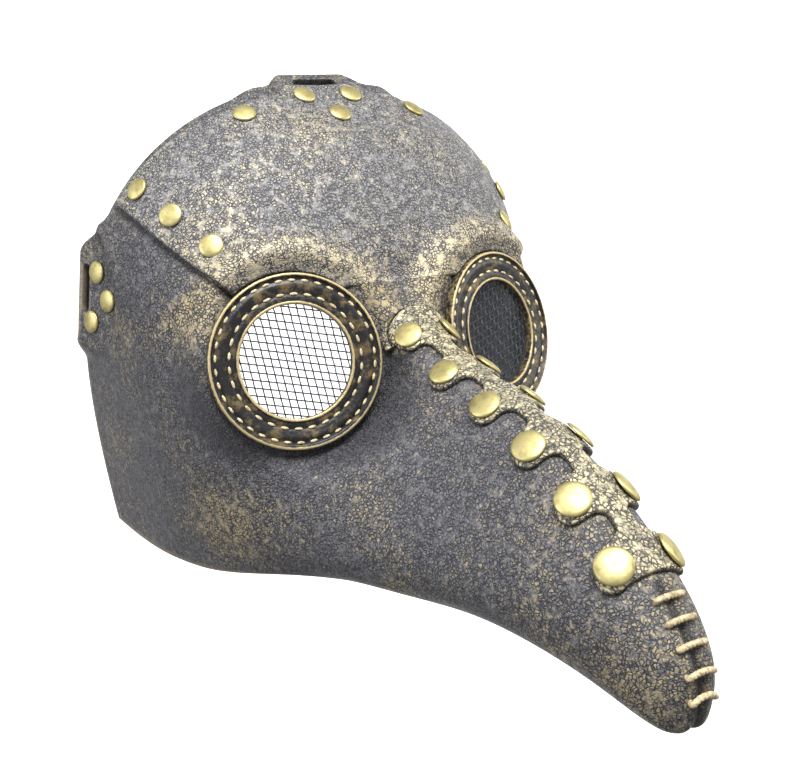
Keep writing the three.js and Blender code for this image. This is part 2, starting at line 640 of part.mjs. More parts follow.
// ---- rivets ----------------------------------------------------------------------------------
const CAP_EDGE = 0.5;         // straight side of a cap under its dome
const CAP_DOME = 0.36;        // a dome's rise over its radius
const BACK_CAP_THICK = 0.9;
const BACK_SEAT = 2.2;        // a back cap stands this far off the hollow side

function rivetGeometry({ capR, low, high }) {
  const seat = high + GAP;
  const back = low - BACK_SEAT;
  const rise = CAP_EDGE + CAP_DOME * capR;
  const dome = [0.35, 0.7].map((t) => [capR * Math.cos(t * Math.PI / 2),
    seat + CAP_EDGE + CAP_DOME * capR * Math.sin(t * Math.PI / 2)]);
  const profile = [
    [0, back - BACK_CAP_THICK], [BACK_CAP_R, back - BACK_CAP_THICK], [BACK_CAP_R, back],
    [SHANK_R, back], [SHANK_R, seat], [capR, seat], [capR, seat + CAP_EDGE], ...dome,
    [0, seat + rise],
  ];
  return new THREE.LatheGeometry(profile.map(([r, z]) => new THREE.Vector2(r, z)), 9)
    .rotateX(Math.PI / 2);
}

for (const rivet of RIVETS) {
  const solid = toSolid(rivetGeometry(rivet));
  addMesh(rivet.name, aim(toGeometry(solid), rivet.point, rivet.normal, AHEAD), BRASS);
}

// ---- lacing ----------------------------------------------------------------------------------
// One cord that comes out on the left, crosses the seam and goes in on the right, five times.
function beakLacing() {
  const above = LACE_R + GAP;
  const below = -SHELL - LACE_R - 0.8;
  const points = [];
  for (const u of LACE_U) {
    const v = vAtReach(u, LACE_HALF);
    const middle = vAtReach(u, LACE_HALF / 2);
    points.push(lift(u, v, below), lift(u, v, -SHELL / 2), lift(u, v, above));
    points.push(lift(u, middle, above), lift(u, 1, above), lift(u, 2 - middle, above));
    points.push(lift(u, 2 - v, above), lift(u, 2 - v, -SHELL / 2), lift(u, 2 - v, below));
  }
  const path = new THREE.CatmullRomCurve3(points, false, 'centripetal');
  const section = new THREE.Shape().absarc(0, 0, LACE_R, 0, 2 * Math.PI, false);
  const options = { steps: 70, extrudePath: path, bevelEnabled: false, curveSegments: 3 };
  addMesh('beak_lacing', new THREE.ExtrudeGeometry(section, options), CORD);
}
beakLacing();

export default mask;
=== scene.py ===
import math

import bmesh
import bpy
import numpy as np
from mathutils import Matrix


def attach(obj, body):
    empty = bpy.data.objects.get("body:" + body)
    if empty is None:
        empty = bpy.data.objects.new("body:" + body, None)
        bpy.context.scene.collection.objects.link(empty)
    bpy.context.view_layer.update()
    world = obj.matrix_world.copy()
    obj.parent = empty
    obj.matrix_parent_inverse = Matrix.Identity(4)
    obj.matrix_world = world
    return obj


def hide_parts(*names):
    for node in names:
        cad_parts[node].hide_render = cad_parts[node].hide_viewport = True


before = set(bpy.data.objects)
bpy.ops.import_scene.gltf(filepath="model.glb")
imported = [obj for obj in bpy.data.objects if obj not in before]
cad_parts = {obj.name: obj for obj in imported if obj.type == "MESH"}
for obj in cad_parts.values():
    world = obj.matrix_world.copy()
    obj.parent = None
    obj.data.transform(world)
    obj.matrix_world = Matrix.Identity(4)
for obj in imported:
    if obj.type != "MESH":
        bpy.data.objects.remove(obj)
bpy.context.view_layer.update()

# ---- camera, light and screen -----------------------------------------------------------------
# The mask floats level, seen from its right front and a little above, before a white screen.
# Broad soft lights stand in front above and at both sides.
scene = bpy.context.scene
scene.view_settings.view_transform = "Standard"

turn, rise = math.radians(-33.668), math.radians(14.262)
camera = bpy.data.objects.new("camera", bpy.data.cameras.new("camera"))
camera.data.lens = 59.12
camera.data.sensor_width = 36.0
camera.location = (-0.27034, -0.40249, 0.10846)
camera.rotation_euler = (math.pi / 2 - rise, 0, turn)
scene.collection.objects.link(camera)
scene.camera = camera


def linear(hexa):
    """A colour written as sRGB hex, turned to linear RGBA."""
    c = np.array([int(hexa[i:i + 2], 16) / 255 for i in (1, 3, 5)])
    c = np.where(c <= 0.04045, c / 12.92, ((c + 0.055) / 1.055) ** 2.4)
    return (*c.tolist(), 1.0)


def fill(node, inputs):
    """Gives a node's sockets, by name or number, another socket to link or a value."""
    for key, value in inputs.items():
        if isinstance(value, bpy.types.NodeSocket):
            node.id_data.links.new(value, node.inputs[key])
        else:
            node.inputs[key].default_value = value


def start(name):
    """A new material, its node tree and its shader."""
    material = bpy.data.materials.new(name)
    material.use_nodes = True
    return material, material.node_tree, material.node_tree.nodes["Principled BSDF"]


def area_light(name, place, target, size, power, colour="#ffffff"):
    """A square soft light at a place, turned to face a target."""
    data = bpy.data.lights.new(name, "AREA")
    data.size, data.energy, data.color = size, power, linear(colour)[:3]
    light = bpy.data.objects.new(name, data)
    way = np.array(target) - np.array(place)
    light.location = place
    light.rotation_euler = (math.acos(-way[2] / np.linalg.norm(way)), 0,
                            math.atan2(way[0], -way[1]) + math.pi)
    scene.collection.objects.link(light)


HEAD = (0, -0.03, 0)
area_light("key_light", (-0.25, -0.5, 1.15), HEAD, 0.6, 31)
area_light("side_light", (-1.1, 0.25, 0.35), HEAD, 0.8, 9, "#f4f6ff")
area_light("far_light", (0.9, -0.5, 0.5), HEAD, 0.7, 7)
world = bpy.data.worlds.new("white_room")
scene.world = world
world.use_nodes = True
fill(world.node_tree.nodes["Background"], {"Color": (1, 1, 1, 1), "Strength": 0.4})

# A lit white paper screen, 3 m square, hangs square to the camera.
SCREEN_AWAY = 2.2
screen_mesh = bpy.data.meshes.new("white_screen")
screen_mesh.from_pydata([(-1.5, -1.5, 0), (1.5, -1.5, 0), (1.5, 1.5, 0), (-1.5, 1.5, 0)], [],
                        [(0, 1, 2, 3)])
screen = bpy.data.objects.new("white_screen", screen_mesh)
ahead = np.array([-math.sin(turn) * math.cos(rise), math.cos(turn) * math.cos(rise),
                  -math.sin(rise)])
screen.location = np.array(camera.location) + SCREEN_AWAY * ahead
screen.rotation_euler = camera.rotation_euler
scene.collection.objects.link(screen)
paper, _, shader = start("lit_white_paper")
fill(shader, {"Emission Color": (1, 1, 1, 1), "Emission Strength": 1.0})
screen_mesh.materials.append(paper)

# ---- the moulded face and beak -----------------------------------------------------------------
# Two halves of thick leather, wet-moulded over a form and joined on the middle line. Dark slate
# dye, then pale gold paint rubbed over the high places and the tops of the grain.
SHELL, GAP = 2.4, 0.3
EYE = np.array([46.7, 0, 0])
EYE_NORMAL = np.array([0.289, -0.928, 0.236])
EYE_NORMAL = EYE_NORMAL / np.linalg.norm(EYE_NORMAL)
RING_R, RING_HEIGHT, RING_OPENING_R = 32.0, 4.0, 20.6
TOP_SLOT, TOP_NORMAL = np.array([0, 63.8, 97.1]), np.array([0, -0.588, 0.809])
SIDE_SLOT, SIDE_NORMAL = np.array([88, 98.2, 16.2]), np.array([0.962, -0.25, 0.1])
SIDE_NORMAL = SIDE_NORMAL / np.linalg.norm(SIDE_NORMAL)
SLOT_LENGTH, SLOT_WIDTH, TOP_LEVEL, SIDE_LEVEL = 20.0, 4.8, -2, -0.5
UP, ACROSS = np.array([0, 0, 1.0]), np.array([1.0, 0, 0])

# The form's control points in millimetres, in rows from the beak's tip back to the rim. Each row
# runs from the lower edge round the wearer's left side up to the middle line.
FORM = np.array([
    [[0, -157.8, -84.5]] * 7,
    [[0, -155, -91.5], [5, -155.5, -91.5], [8, -156, -88.5], [9, -156.5, -83],
     [8.5, -157.5, -77.5], [5, -159.3, -72.5], [0, -159.3, -72.5]],
    [[0, -146, -92], [7, -146, -92], [13, -146, -87], [14.5, -147, -74.5],
     [13, -149.5, -64], [7, -151, -59], [0, -151, -59]],
    [[0, -129, -86], [9, -129, -86], [18.5, -127, -80], [20.5, -128, -64],
     [17, -132, -51], [9, -134.5, -44.2], [0, -134.5, -44.2]],
    [[0, -105, -80.5], [12, -105, -80.5], [26, -102, -75], [26.5, -103, -57],
     [18.5, -106, -37.5], [10, -109, -24], [0, -109, -24]],
    [[0, -80, -77.5], [16, -80, -77.5], [32.5, -76, -73.5], [31, -78, -53],
     [19, -82, -29], [9.5, -84.5, -12], [0, -84.5, -12]],
    [[24, -52, -77], [33, -49, -78.5], [40, -47, -72], [37, -50, -50],
     [21, -54, -22], [9, -58.5, -4.5], [0, -58.5, -4.5]],
    [[44, -18, -77], [48, -16, -76], [51, -16, -67], [46, -20, -46],
     [24, -26, -17], [8, -29, 1.5], [0, -29, 1.5]],
    [[58, 8, -82], [61, 6, -74], [62, 2, -58], [57, -6, -36],
     [32, -8, -8], [9, -6.5, 12], [0, -6.5, 12]],
    [[66, 30, -87], [70, 26, -72], [74, 20, -46], [76, 16, -14],
     [57, 5, 25], [18, 9, 28], [0, 8, 24]],
    [[71, 52, -89], [76, 49, -70], [81, 47, -38], [85, 44, 0],
     [84, 32, 46], [34, 14, 50], [0, 12, 49]],
    [[75, 78, -89], [79, 77, -66], [84, 76, -30], [88, 76, 10],
     [93, 56, 58], [48, 39, 81], [0, 32.5, 78]],
    [[77, 104, -85], [80, 108, -64], [85, 110, -28], [88, 102, 8],
     [90, 67, 60], [46, 64, 93], [0, 64.5, 97]]], float)
# Flat lands: place, normal, level, radius and blend.
LANDS = [(EYE, EYE_NORMAL, -RING_HEIGHT - GAP, RING_R + 1, 10),
         (TOP_SLOT, TOP_NORMAL, TOP_LEVEL, 27, 12), (SIDE_SLOT, SIDE_NORMAL, SIDE_LEVEL, 21, 10)]
# Lips behind the slots: place, direction along, direction back, half length, fade and run-out.
LIPS = [(TOP_SLOT, ACROSS, (0, 0.809, 0.588), 14, 9, 5.5),
        (SIDE_SLOT, UP, (0.25, 0.968, 0), 14, 17, 4.6)]
# The brow roll over a ring: its rise, its distance from the ring's axis and its softness.
BROW_RISE, BROW_R, BROW_SOFT = 4.5, 41, 5


def smooth(t):
    """0 below 0, 1 above 1, and an S-curve between."""
    t = np.clip(t, 0, 1)
    return t * t * (3 - 2 * t)


def spline_weights(count, t):
    """Weights of a clamped cubic B-spline with evenly spaced knots, by the Cox and de Boor
    recursion on whole arrays: one more axis, as long as the count of control points."""
    spans = count - 3
    knots = np.clip(np.arange(-3, spans + 4), 0, spans).astype(float)
    x = (np.clip(t, 0, 1 - 1e-9) * spans)[..., None]
    w = ((x >= knots[:-1]) & (x < knots[1:])).astype(float)
    for d in (1, 2, 3):
        n = len(knots) - 1 - d
        a, b = knots[d:d + n] - knots[:n], knots[d + 1:] - knots[1:n + 1]
        w = (np.where(a > 0, (x - knots[:n]) / np.where(a > 0, a, 1), 0) * w[..., :n]
             + np.where(b > 0, (knots[d + 1:] - x) / np.where(b > 0, b, 1), 0) * w[..., 1:])
    return w


def round_eye(p):
    """Distance from the eye ring's axis, height over its plane, and angle round it in degrees,
    from 0 at the outer corner over 90 at the brow to 180 at the nose."""
    d = p - EYE
    height = d @ EYE_NORMAL
    up = UP - EYE_NORMAL * EYE_NORMAL[2]
    up = up / np.linalg.norm(up)
    out = -np.cross(EYE_NORMAL, up)
    across = np.linalg.norm(d - height[..., None] * EYE_NORMAL, axis=-1)
    return across, height, np.degrees(np.arctan2(d @ up, d @ out))


def skin(u, v):
    """The form's surface: a B-spline over FORM, with lips behind the slots, flat lands drawn onto
    their planes, and a brow roll over each ring. u runs from tip 0 to rim 1; v runs from the left
    lower edge 0 over the middle line 1 to the right lower edge 2, which mirrors the left."""
    u, v = np.broadcast_arrays(u, v)
    right, v = v > 1, np.where(v > 1, 2 - v, v)
    around = spline_weights(FORM.shape[1], v)
    p = np.einsum("...i,...j,ijk->...k", spline_weights(FORM.shape[0], u), around, FORM,
                  optimize=True)
    for place, along, back, half, fade, out in LIPS:
        rim = around @ FORM[-1] - place
        reach = smooth((half + fade - np.abs(rim @ along)) / fade) * np.maximum(out - rim @ back, 0)
        p = p + (reach * smooth((u - 0.9) / 0.1))[..., None] * back
    for place, normal, level, radius, blend in LANDS:
        height = (p - place) @ normal
        across = np.linalg.norm(p - place - height[..., None] * normal, axis=-1)
        pull = smooth((radius + blend - across) / blend) * (np.abs(height) < 40)
        p = p + normal * ((level - height) * pull)[..., None]
    across, _, angle = round_eye(p)
    roll = BROW_RISE * np.exp(-((across - BROW_R) / BROW_SOFT) ** 2)
    roll = roll * smooth((angle - 20) / 35) * smooth((165 - angle) / 35)
    p = p + EYE_NORMAL * roll[..., None]
    return np.where(right[..., None], p * (-1, 1, 1), p)


def skin_normal(u, v):
    """Outward normals: the cross product of the differences along and around the form."""
    u, v = np.broadcast_arrays(np.maximum(u, 0.003), v)
    right, w = v > 1, np.where(v > 1, 2 - v, v)
    step = 1e-3
    along = skin(np.minimum(u + step, 1), w) - skin(u - step, w)
    around = skin(u, np.minimum(w + step, 1)) - skin(u, np.maximum(w - step, 0))
    n = np.cross(along, around)
    n[..., 0] = np.where(w > 1 - step / 2, 0, n[..., 0])
    n = n / np.maximum(np.linalg.norm(n, axis=-1, keepdims=True), 1e-12)
    return np.where(right[..., None], n * (-1, 1, 1), n)


def grid_faces(rows, cols, wrap=False):
    """Quads of a grid stored row by row; wrap joins the last column to the first."""
    i, j = np.meshgrid(np.arange(rows - 1), np.arange(cols if wrap else cols - 1), indexing="ij")
    k = (j + 1) % cols
    quads = np.stack([i * cols + j, (i + 1) * cols + j, (i + 1) * cols + k, i * cols + k], -1)
    return quads.reshape(-1, 4)


def closed_sheet(faces, count):
    """Faces of a closed body from an outer sheet's: the same, the inner sheet's turned round, and
    a wall on each edge that only one face uses. Inner vertices follow the outer ones."""
    a, b = faces.ravel(), np.roll(faces, -1, axis=1).ravel()
    edge = ~np.isin(a * count + b, b * count + a)
    a, b = a[edge], b[edge]
    walls = np.stack([b, a, a + count, b + count], -1)
    return np.concatenate([faces, faces[:, ::-1] + count, walls])


def make_piece(name, points, faces, material, nodes, marks={}, crease=50):
    """Puts points in millimetres and faces into a mesh, merges doubled points, smooths it with
    edges over the crease angle kept sharp, and adds it to the mask in place of the CAD's nodes.
    Marks are named numbers for each point."""
    mesh = bpy.data.meshes.new(name)
    mesh.from_pydata(points * 0.001, [], faces)
    for mark, values in marks.items():
        mesh.attributes.new(mark, "FLOAT", "POINT").data.foreach_set("value", values.ravel())
    work = bmesh.new()
    work.from_mesh(mesh)
    bmesh.ops.remove_doubles(work, verts=work.verts, dist=2e-6)
    bmesh.ops.delete(work, geom=[v for v in work.verts if not v.link_faces], context="VERTS")
    work.to_mesh(mesh)
    work.free()
    mesh.polygons.foreach_set("use_smooth", np.ones(len(mesh.polygons), bool))
    mesh.set_sharp_from_angle(angle=math.radians(crease))
    mesh.materials.append(material)
    piece = bpy.data.objects.new(name, mesh)
    scene.collection.objects.link(piece)
    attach(piece, "root")
    if nodes:
        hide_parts(*nodes)


def add(tree, kind, inputs={}, **settings):
    """Adds a node with its settings and what its sockets take."""
    node = tree.nodes.new(kind)
    for key, value in settings.items():
        setattr(node, key, value)
    fill(node, inputs)
    return node


def leather(name, dark, light, gold, grain, rubbed, shine, depth):
    """Drum-dyed cow leather, creased to a broken crackle and rubbed with metallic paint. Two dyes
    mottle it, dark lines run in the creases, and gold flecks lie on top where the mark rub or
    the patches are high; its cut edges are raw and tan, and its flesh side is dark and dull.
    Shade is painted on in near black where the shade mark is high, in grooves and along edges.
    Grain is a cell's width and depth a crease's depth, in millimetres; rubbed is the strength
    of the gold's patches and shine the middle roughness."""
    material, tree, shader = start(name)
    place = add(tree, "ShaderNodeTexCoord").outputs["Object"]
    drift = add(tree, "ShaderNodeTexNoise", {"Vector": place, "Scale": 260.0, "Detail": 3.0})
    bent = add(tree, "ShaderNodeVectorMath", {0: drift.outputs["Color"], 1: (0.003, 0.003, 0.003),
                                              2: place}, operation="MULTIPLY_ADD").outputs[0]
    # Creases: narrow lines on the edges of cells, open where a noise of 3 mm lets them.
    cell = add(tree, "ShaderNodeTexVoronoi", {"Vector": bent, "Scale": 1000 / grain},
               feature="DISTANCE_TO_EDGE").outputs["Distance"]
    line = add(tree, "ShaderNodeMapRange", {"Value": cell, "From Min": 0.03, "From Max": 0.2,
                                            "To Min": 1.0, "To Max": 0.0}).outputs["Result"]
    gate = add(tree, "ShaderNodeTexNoise", {"Vector": place, "Scale": 300.0, "Detail": 3.0})
    gate = add(tree, "ShaderNodeMapRange", {"Value": gate.outputs["Fac"], "From Min": 0.34,
                                            "From Max": 0.5}).outputs["Result"]
    line = add(tree, "ShaderNodeMath", {0: line, 1: gate}, operation="MULTIPLY").outputs[0]
    pores = add(tree, "ShaderNodeTexNoise", {"Vector": place, "Scale": 1300.0, "Detail": 4.0,
                                             "Roughness": 0.7}).outputs["Fac"]
    high = add(tree, "ShaderNodeMath", {0: line, 1: -0.8, 2: pores},
               operation="MULTIPLY_ADD").outputs[0]
    # Patches where the paint was rubbed harder: about 40 mm across, broken up by smaller ones.
    patch = add(tree, "ShaderNodeTexNoise", {"Vector": place, "Scale": 26.0, "Detail": 4.0,
                                             "Roughness": 0.6}).outputs["Fac"]
    patch = add(tree, "ShaderNodeMapRange", {"Value": patch, "From Min": 0.42, "From Max": 0.68,
                                             "To Min": 0.0, "To Max": rubbed}).outputs["Result"]
    rub = add(tree, "ShaderNodeAttribute", attribute_name="rub").outputs["Fac"]
    paint = add(tree, "ShaderNodeMath", {0: patch, 1: rub}, operation="ADD").outputs[0]
    # Gold shows where a fleck's noise plus the rubbing passes a threshold, but not in a crease.
    fleck = add(tree, "ShaderNodeTexNoise", {"Vector": bent, "Scale": 620.0, "Detail": 4.0,
                                             "Roughness": 0.65}).outputs["Fac"]
    shown = add(tree, "ShaderNodeMath", {0: paint, 1: 0.2, 2: fleck}, operation="MULTIPLY_ADD")
    shown = add(tree, "ShaderNodeMapRange", {"Value": shown.outputs[0], "From Min": 0.55,
                                             "From Max": 0.78, "To Max": 0.85})
    bare = add(tree, "ShaderNodeMath", {0: 1.0, 1: line}, operation="SUBTRACT").outputs[0]
    shown = add(tree, "ShaderNodeMath", {0: shown.outputs["Result"], 1: bare},
                operation="MULTIPLY").outputs[0]
    mottle = add(tree, "ShaderNodeMapRange", {"Value": pores, "From Min": 0.38,
                                              "From Max": 0.62}).outputs["Result"]
    face = add(tree, "ShaderNodeMix", {0: mottle, 6: linear(dark), 7: linear(light)},
               data_type="RGBA").outputs[2]
    painted_shade = add(tree, "ShaderNodeAttribute", attribute_name="painted_shade").outputs["Fac"]
    edge = add(tree, "ShaderNodeAttribute", attribute_name="edge").outputs["Fac"]
    flesh = add(tree, "ShaderNodeAttribute", attribute_name="flesh").outputs["Fac"]
    crack = add(tree, "ShaderNodeMath", {0: line, 1: 0.88}, operation="MULTIPLY").outputs[0]
    # The near-black #17161a is painted shade, laid on where the shade mark is high.
    for amount, colour in ((shown, gold), (crack, "#1c1c1f"), (painted_shade, "#17161a"),
                           (edge, "#9b8d74"), (flesh, "#1d1b1a")):
        face = add(tree, "ShaderNodeMix", {0: amount, 6: face, 7: linear(colour)},
                   data_type="RGBA").outputs[2]
    dull = add(tree, "ShaderNodeMapRange", {"Value": pores, "To Min": shine - 0.1,
                                            "To Max": shine + 0.14}).outputs["Result"]
    metal = add(tree, "ShaderNodeMath", {0: shown, 1: 0.35}, operation="MULTIPLY").outputs[0]
    bump = add(tree, "ShaderNodeBump", {"Height": high, "Strength": 0.8,
                                        "Distance": depth * 0.001}).outputs["Normal"]
    fill(shader, {"Base Color": face, "Roughness": dull, "Metallic": metal, "Normal": bump})
    return material


shell_leather = leather("slate_dyed_crackled_leather_gold_rubbed", "#303034", "#6a6a6f",
                        "#b3a27a", 1.3, 0.75, 0.46, 0.3)


def spread(*runs):
    """One rising row of parameters from runs of (steps, start, end)."""
    return np.concatenate([np.linspace(a, b, n, endpoint=False) for n, a, b in runs]
                          + [[runs[-1][2]]])


def rubbing(p):
    """How hard the gold was rubbed at a point: most on the brow roll, along the beak's ridge and
    at its tip, and in a streak under the ring."""
    q = np.abs(p) * (1, 0, 0) + p * (0, 1, 1)
    across, _, angle = round_eye(q)
    brow = np.exp(-((across - 40) / 7.5) ** 2)
    brow = brow * smooth((angle + 5) / 40) * smooth((190 - angle) / 40)
    ridge = np.exp(-(q[..., 0] / 15) ** 2) * smooth((20 - q[..., 1]) / 60)
    tip = smooth((-128 - q[..., 1]) / 22)
    streak = 0.5 * np.exp(-(((q - (70, 12, -62)) / (16, 20, 16)) ** 2).sum(-1))
    hollow = 0.5 * np.exp(-((across - 37) / 6) ** 2) * smooth((10 - angle) / 50)
    return 1.15 * brow + 0.35 * ridge + 0.35 * tip + streak - hollow


ROWS = spread((40, 0, 0.18), (80, 0.18, 0.58), (95, 0.58, 0.88), (40, 0.88, 1))
COLUMNS = spread((70, 0, 0.72), (42, 0.72, 0.97), (9, 0.97, 1))
HOLE_MARGIN = 2.4                           # the shell's opening is wider than the ring's
FURROW_V, FURROW_SOFT = 0.7085, 0.0065      # the furrow's place round the form, and its softness


def frame_of(normal, along):
    """Three unit vectors: one in the plane near along, one across it, and the normal."""
    n = normal / np.linalg.norm(normal)
    x = along - n * (along @ n)
    x = x / np.linalg.norm(x)
    return np.stack([x, np.cross(n, x), n])


def slot_edge(p, place, normal, along):
    """Signed distance to a strap slot's outline in its plane, a line with round ends, and the
    way out from it."""
    x, y, n = frame_of(normal, along)
    s, t, height = (p - place) @ x, (p - place) @ y, (p - place) @ n
    half = (SLOT_LENGTH - SLOT_WIDTH) / 2
    rest = s - np.clip(s, -half, half)
    far = np.hypot(rest, t)
    way = (rest[..., None] * x + t[..., None] * y) / np.maximum(far, 1e-6)[..., None]
    return np.where(np.abs(height) < 12, far - SLOT_WIDTH / 2, 99), way


def cut_openings(points, faces, edges):
    """Opens a sheet: faces whose middle lies inside an outline go, and the points on the new
    edge move onto the outline. Each outline gives signed distances and outward directions."""
    for outline in edges:
        inside = outline(points[faces].mean(1))[0] < 0
        rim = np.intersect1d(faces[inside], faces[~inside])
        gap, way = outline(points[rim])
        points[rim] -= gap[:, None] * way
        faces = faces[~inside]
    return faces


def eye_edge(p):
    """Signed distance to the opening behind an eye ring, round its axis, and the way out."""
    across, height, _ = round_eye(p)
    d = p - EYE - height[..., None] * EYE_NORMAL
    return (np.where(np.abs(height) < 14, across - RING_OPENING_R - HOLE_MARGIN, 99),
            d / np.maximum(across, 1e-6)[..., None])


u, v = np.meshgrid(ROWS, COLUMNS, indexing="ij")
outer = skin(u, v)
normals = skin_normal(u, v)
# The seam's groove at the beak's tip, sunk into the form and darkened with painted shade.
seam = np.exp(-(outer[..., 0] / 1.7) ** 2) * smooth((0.185 - u) / 0.02)
# A furrow beside the panel's edge, darkened with painted shade, and painted shade under each ring.
furrow = np.exp(-((v - FURROW_V) / FURROW_SOFT) ** 2)
furrow = furrow * smooth((u - 0.79) / 0.02) * smooth((1 - u) / 0.02)
across, _, angle = round_eye(outer)
painted_ring_shade = 0.5 * np.exp(-((across - 35) / 5) ** 2) * smooth((25 - angle) / 30)
inner = outer - normals * SHELL
outer = outer - normals * (1.5 * seam + 0.7 * furrow)[..., None]
outer, inner = outer.reshape(-1, 3), inner.reshape(-1, 3)
openings = [eye_edge, lambda p: slot_edge(p, SIDE_SLOT, SIDE_NORMAL, UP),
            lambda p: slot_edge(p, TOP_SLOT, TOP_NORMAL, ACROSS)]
whole = grid_faces(len(ROWS), len(COLUMNS))
faces = cut_openings(outer, whole, openings)
cut_openings(inner, whole, openings)
inner[:, 0] = np.maximum(inner[:, 0], 0)
used = np.bincount(faces.ravel(), minlength=len(outer))
edge = (used < 3) & (used > 0) & (u.ravel() > 0.2) & (v.ravel() < 0.999)
edge = edge * 0.6 * smooth((45 - outer[:, 2]) / 30)
# The shade mark here is painted shade: in the seam's groove, in the furrow and under each ring.
marks = {"rub": np.tile(rubbing(outer), 2), "edge": np.tile(edge, 2),
         "painted_shade": np.tile(np.max([seam ** 0.5 * 0.9, furrow * 0.8, painted_ring_shade], 0).ravel(), 2),
         "flesh": np.repeat([0.0, 1.0], len(outer))}
points = np.concatenate([outer, inner])
body = closed_sheet(faces, len(outer))
make_piece("moulded_shell_left", points, body, shell_leather,
           ["face_shell_left"], marks)
make_piece("moulded_shell_right", points * (-1, 1, 1), body[:, ::-1], shell_leather,
           ["face_shell_right"], marks)

# ---- forehead panel ----------------------------------------------------------------------------
# A second layer of the same leather over brow and crown, its edge turned down and burnished,
# riveted along both sides and at the crown.
PANEL_EDGE_V, PANEL_FOOT_U, PANEL_RIM_U, PANEL_TOP = 0.714, 0.785, 0.992, 2.3
EDGE_R, SKIVED = 2.0, 13        # the burnished edge's radius and how far the foot is skived


def rounded(distance, top, radius):
    """Height over the form of a layer whose edge falls away in a quarter circle."""
    t = 1 - np.clip(distance / radius, 0, 1)
    return top * (0.18 + 0.82 * np.sqrt(1 - t ** 2))


def arc(points, axis):
    """Distance gone along one axis of a grid of points."""
    step = np.linalg.norm(np.diff(points, axis=axis), axis=-1)
    return np.insert(np.cumsum(step, axis=axis), 0, 0, axis=axis)


half = spread((8, PANEL_EDGE_V, PANEL_EDGE_V + 0.012), (95, PANEL_EDGE_V + 0.012, 1))
columns = np.concatenate([half, 2 - half[-2::-1]])
tries = np.linspace(PANEL_FOOT_U, 1, 1500)
mirror = np.where(columns > 1, 2 - columns, columns)
hidden = round_eye(skin(tries[:, None], mirror[None]))[0] < RING_R + GAP
feet = tries[np.where(hidden.any(0), len(tries) - 1 - hidden[::-1].argmax(0), 0)]
t = spread((8, 0, 0.018), (85, 0.018, 0.97), (8, 0.97, 1))[:, None]
u = feet + (PANEL_RIM_U - feet) * t
v = np.broadcast_to(columns, u.shape)
flat = skin(u, v)
normals = skin_normal(u, v)
up, side = arc(flat, 0), arc(flat, 1)
near = np.minimum(np.minimum(up, up[-1] - up), np.minimum(side, side[:, -1:] - side))
# Between the eyes the foot is skived thin, so that it fades into the shell.
other = np.minimum(up[-1] - up, np.minimum(side, side[:, -1:] - side))
skived = PANEL_TOP * (0.06 + 0.94 * smooth(up / SKIVED))
skived = np.minimum(rounded(other, PANEL_TOP, EDGE_R), skived)
thin = smooth((0.13 - np.abs(v - 1)) / 0.05)
rise_over = rounded(near, PANEL_TOP, EDGE_R) * (1 - thin) + skived * thin
top = (flat + normals * rise_over[..., None]).reshape(-1, 3)
under = (flat + normals * 0.1).reshape(-1, 3)
faces = cut_openings(top, grid_faces(*u.shape), openings[2:])
cut_openings(under, grid_faces(*u.shape), openings[2:])
# Gold is rubbed over each side edge, 3 mm in, and there it is also a painted highlight on the
# edge's rounded crest.
rubbed_lip_and_highlight = 0.45 * (np.exp(-((side - 3) / 1.6) ** 2) + np.exp(-((side[:, -1:] - side - 3) / 1.6) ** 2))
# The shade mark paints shade on the panel within 1.3 mm of its edges, where they turn down.
marks = {"rub": np.tile(rubbing(top) + 0.1 + rubbed_lip_and_highlight.ravel(), 2),
         "painted_shade": np.tile((smooth(1 - near / 1.3) * 0.8 * (1 - thin)).ravel(), 2)}
# This is the shell's leather painted lighter, its dyes and gold both: painted top light on the
# forehead.
panel_leather_painted_lit = leather("slate_panel_leather_painted_lit_gold_rubbed", "#454547", "#8f8e90",
                        "#c6b792", 1.2, 0.85, 0.44, 0.26)
make_piece("brow_panel", np.concatenate([top, under]), closed_sheet(faces, len(top)),
           panel_leather_painted_lit, ["forehead_panel"], marks)

# ---- ridge strap -------------------------------------------------------------------------------
# One strap of leather along the beak's ridge, cut with six round tabs to each side that the
# rivets hold down. It took the most gold paint, and its edges are worn; a painted highlight
# runs along their crest and painted shade on their walls.
STRAP_START_U, STRAP_HEAD, STRAP_TOP = 0.722, 13, 2.2
TAB_PITCH, TAB_ROOT, SPINE_HALF = 25.3, 3.6, 4
BEAK_RIVET_OUT = np.array([8.0, 9.0, 9.5, 10.2, 10.4, 11.2])
BEAK_CAP_R = np.array([5.3, 5.4, 5.6, 5.9, 6.2, 6.4])
TAB_MARGIN = 0.9


def strap_half(distance):
    """Half width of the strap: a round head, then a spine with a tab at each rivet, whose end is
    a circle about the rivet and whose roots are hollow quarter ellipses."""
    k = np.clip(np.round((distance - STRAP_HEAD) / TAB_PITCH), 0, 5).astype(int)
    off = np.abs(distance - STRAP_HEAD - k * TAB_PITCH)
    end = BEAK_CAP_R[k] + TAB_MARGIN
    tab = BEAK_RIVET_OUT[k] + np.sqrt(np.maximum(end ** 2 - off ** 2, 0))
    root = np.clip((end + TAB_ROOT - off) / TAB_ROOT, 0, 1)
    spine = SPINE_HALF + (BEAK_RIVET_OUT[k] - SPINE_HALF) * (1 - np.sqrt(1 - root ** 2))
    head = tab[np.argmin(off)] * np.sqrt(np.clip(1 - (1 - distance / STRAP_HEAD) ** 2, 0.001, 1))
    return np.where(distance < STRAP_HEAD, head, np.where(off < end, tab, spine))


ridge_u = np.linspace(STRAP_START_U, 0, 1500)
ridge_gone = arc(skin(ridge_u, 1.0), 0)


